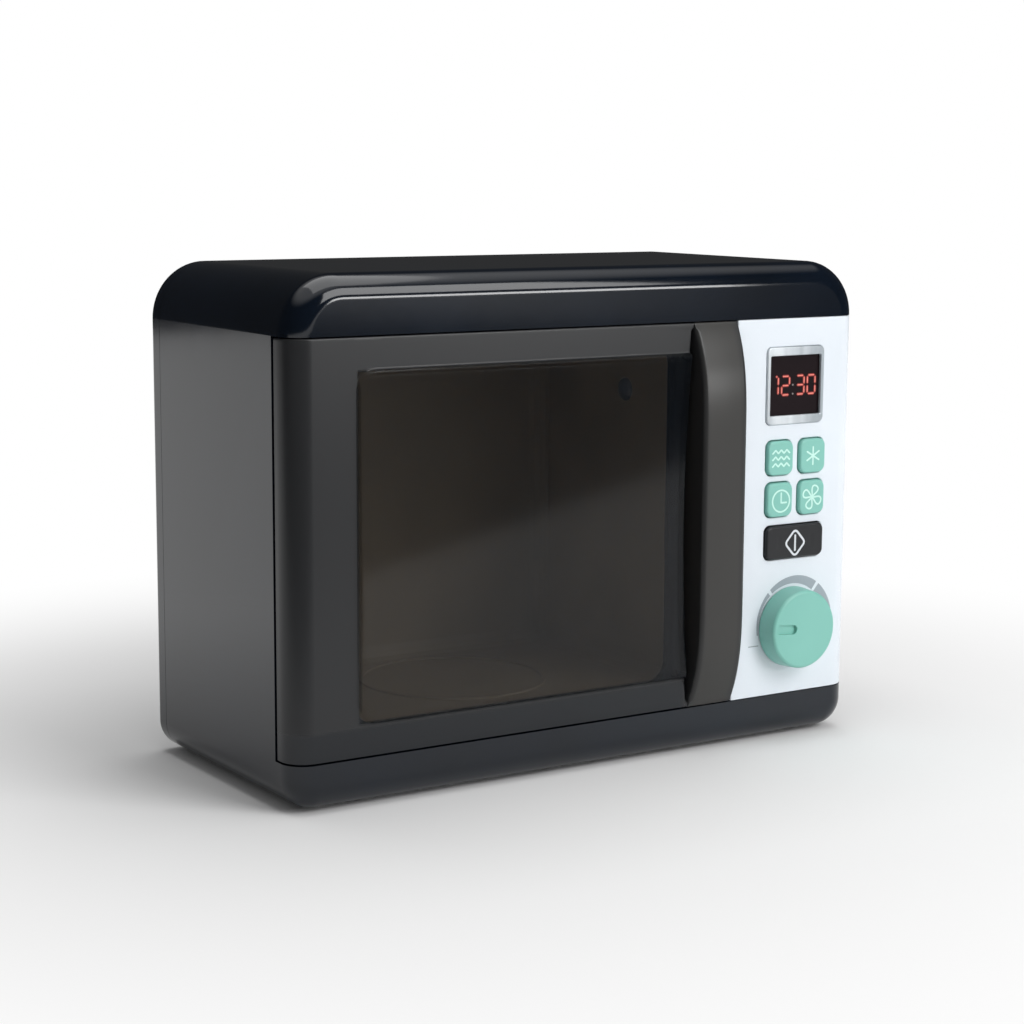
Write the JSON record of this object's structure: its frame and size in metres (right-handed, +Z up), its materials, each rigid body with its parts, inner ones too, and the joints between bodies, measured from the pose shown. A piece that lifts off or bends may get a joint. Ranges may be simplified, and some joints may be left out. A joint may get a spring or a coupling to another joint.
{
  "type": "toy microwave oven",
  "caption": "Pretend microwave oven with a see-through door that swings open, a clicking knob, sprung keys, a lit cavity, and a battery bay behind.",
  "frame": {"origin": "under the middle of the toy's box, on the surface its feet stand on", "axes": "front faces -Y, +X to the right of someone who faces it, +Z up"},
  "size_m": [0.332, 0.162, 0.248],
  "materials": {
    "gloss_black": "moulded gloss black polystyrene",
    "matte_black": "fine textured black polystyrene",
    "smoked_clear": "smoked see-through polystyrene",
    "panel_white": "moulded white polystyrene",
    "mint": "moulded mint polystyrene",
    "silver_plate": "satin silver plated plastic",
    "display_black": "polished dark window",
    "acetal": "natural acetal",
    "spring_steel": "nickel plated spring steel",
    "zinc_steel": "zinc plated steel",
    "silicone": "silicone rubber",
    "board": "phenolic laminate",
    "blue_epoxy": "tinted epoxy",
    "clear_lens": "clear polystyrene",
    "paper": "black paper cone",
    "cell_sleeve": "plain printed sleeve over steel",
    "lead_red": "soft PVC",
    "lead_black": "soft PVC"
  },
  "bodies": {
    "housing": {"housing_shell": "gloss_black", "rear_cover": "gloss_black", "battery_cover": "gloss_black", "cavity_liner": "matte_black", "control_panel": "panel_white", "display_bezel": "silver_plate", "display_window": "display_black", "click_spring": "spring_steel", "keypad_mat": "silicone", "circuit_board": "board", "sound_chip": "matte_black", "cavity_led": "blue_epoxy", "led_lens": "clear_lens", "speaker_frame": "zinc_steel", "speaker_cone": "paper", "battery_left": "cell_sleeve", "battery_right": "cell_sleeve", "contact_link": "spring_steel", "contact_positive": "spring_steel", "contact_negative": "spring_steel", "battery_cover_screw": "zinc_steel", "cover_screw_1": "zinc_steel", "cover_screw_2": "zinc_steel", "cover_screw_3": "zinc_steel", "cover_screw_4": "zinc_steel", "cover_screw_5": "zinc_steel", "cover_screw_6": "zinc_steel", "panel_screw_1": "zinc_steel", "panel_screw_2": "zinc_steel", "panel_screw_3": "zinc_steel", "panel_screw_4": "zinc_steel", "board_screw_1": "zinc_steel", "board_screw_2": "zinc_steel", "board_screw_3": "zinc_steel", "board_screw_4": "zinc_steel", "battery_lead_red": "lead_red", "battery_lead_black": "lead_black", "speaker_lead": "lead_black", "led_lead": "lead_black"},
    "swing_door": {"door": "smoked_clear"},
    "timer_knob": {"knob": "mint", "ratchet_wheel": "acetal", "knob_screw": "zinc_steel"},
    "waves_key": {"button_waves": "mint"},
    "defrost_key": {"button_defrost": "mint"},
    "timer_key": {"button_timer": "mint"},
    "fan_key": {"button_fan": "mint"},
    "start_key": {"start_button": "matte_black"}
  },
  "joints": [
    {"name": "door_hinge", "type": "hinge", "parent": "housing", "child": "swing_door", "pos_m": [-0.156, -0.059, 0.122], "axis": [0, 0, -1], "range_deg": [0, 105]},
    {"name": "knob_spin", "type": "hinge", "parent": "housing", "child": "timer_knob", "pos_m": [0.1244, -0.07, 0.0597], "axis": [0, 1, 0], "continuous": true, "deforming": ["click_spring"]},
    {"name": "waves_press", "type": "slide", "parent": "housing", "child": "waves_key", "axis": [0, 1, 0], "range_m": [0, 0.0015], "stiffness_N_per_m": 600, "springref_m": -0.001, "deforming": ["keypad_mat"]},
    {"name": "defrost_press", "type": "slide", "parent": "housing", "child": "defrost_key", "axis": [0, 1, 0], "range_m": [0, 0.0015], "stiffness_N_per_m": 600, "springref_m": -0.001, "deforming": ["keypad_mat"]},
    {"name": "timer_press", "type": "slide", "parent": "housing", "child": "timer_key", "axis": [0, 1, 0], "range_m": [0, 0.0015], "stiffness_N_per_m": 600, "springref_m": -0.001, "deforming": ["keypad_mat"]},
    {"name": "fan_press", "type": "slide", "parent": "housing", "child": "fan_key", "axis": [0, 1, 0], "range_m": [0, 0.0015], "stiffness_N_per_m": 600, "springref_m": -0.001, "deforming": ["keypad_mat"]},
    {"name": "start_press", "type": "slide", "parent": "housing", "child": "start_key", "axis": [0, 1, 0], "range_m": [0, 0.0015], "stiffness_N_per_m": 600, "springref_m": -0.001, "deforming": ["keypad_mat"]}
  ]
}
